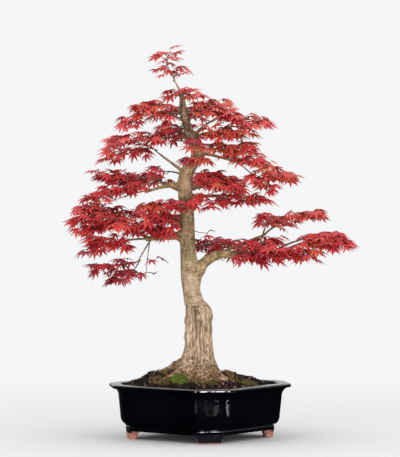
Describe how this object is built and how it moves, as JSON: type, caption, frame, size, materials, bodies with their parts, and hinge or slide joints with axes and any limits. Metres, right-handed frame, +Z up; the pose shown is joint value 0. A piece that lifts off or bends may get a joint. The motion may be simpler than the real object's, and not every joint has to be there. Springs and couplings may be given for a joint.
{
  "type": "potted maple bonsai",
  "caption": "Red-leaved maple bonsai with a flared grafted trunk, layered leaf pads on curved boughs, and a square black glazed pot with cut corners on low feet.",
  "frame": {"origin": "on the ground the pot stands on, under the middle of the whole plant's box", "axes": "+Z up; the front view looks along +Y, with +X to its right"},
  "size_m": [0.5052, 0.3298, 0.6673],
  "materials": {
    "glaze": "gloss blue-black glaze, bare clay under the feet",
    "earth": "dark gritty soil with patches of moss",
    "bark": "furrowed tan bark below the graft, smoother above",
    "young_bark": "smooth brown bark",
    "leaf_red": "satin leaf",
    "leaf_crimson": "satin leaf",
    "leaf_deep": "satin leaf",
    "leaf_orange": "satin leaf",
    "leaf_pink": "satin leaf"
  },
  "bodies": {
    "root": {"pot": "glaze", "soil": "earth", "trunk": "bark", "bough_right_low": "young_bark", "bough_right_low_outer": "young_bark", "bough_right_low_rise": "young_bark", "bough_left_low": "young_bark", "bough_left_low_outer": "young_bark", "bough_left_drop": "young_bark", "bough_left_mid": "young_bark", "bough_left_upper": "young_bark", "bough_left_top": "young_bark", "bough_right_upper": "young_bark", "bough_right_top": "young_bark", "bough_right_mid": "young_bark", "bough_back_low": "young_bark", "bough_back_right_low": "young_bark", "bough_back_mid": "young_bark", "bough_back_left_mid": "young_bark", "bough_back_upper": "young_bark", "leaves_apex": "leaf_pink", "leaves_crown_top": "leaf_orange", "leaves_crown_left": "leaf_pink", "leaves_left_top": "leaf_red", "leaves_left_top_low": "leaf_red", "leaves_right_top": "leaf_orange", "leaves_right_top_low": "leaf_orange", "leaves_left_upper": "leaf_crimson", "leaves_left_inner": "leaf_crimson", "leaves_right_inner": "leaf_orange", "leaves_right_upper_outer": "leaf_orange", "leaves_left_mid": "leaf_crimson", "leaves_right_mid": "leaf_red", "leaves_right_mid_inner": "leaf_red", "leaves_left_low_inner": "leaf_crimson", "leaves_left_low_upper": "leaf_red", "leaves_left_low_outer": "leaf_crimson", "leaves_left_low_under": "leaf_deep", "leaves_left_hanging": "leaf_deep", "leaves_right_low_near": "leaf_deep", "leaves_right_low_rise": "leaf_red", "leaves_right_low_tip": "leaf_red", "leaves_right_low_back": "leaf_deep", "leaves_front_upper": "leaf_crimson", "leaves_front_mid": "leaf_crimson", "leaves_front_low": "leaf_crimson", "leaves_back_low": "leaf_deep", "leaves_back_mid": "leaf_crimson", "leaves_back_left_mid": "leaf_crimson", "leaves_back_upper": "leaf_crimson", "leaves_back_top": "leaf_red"}
  },
  "joints": []
}
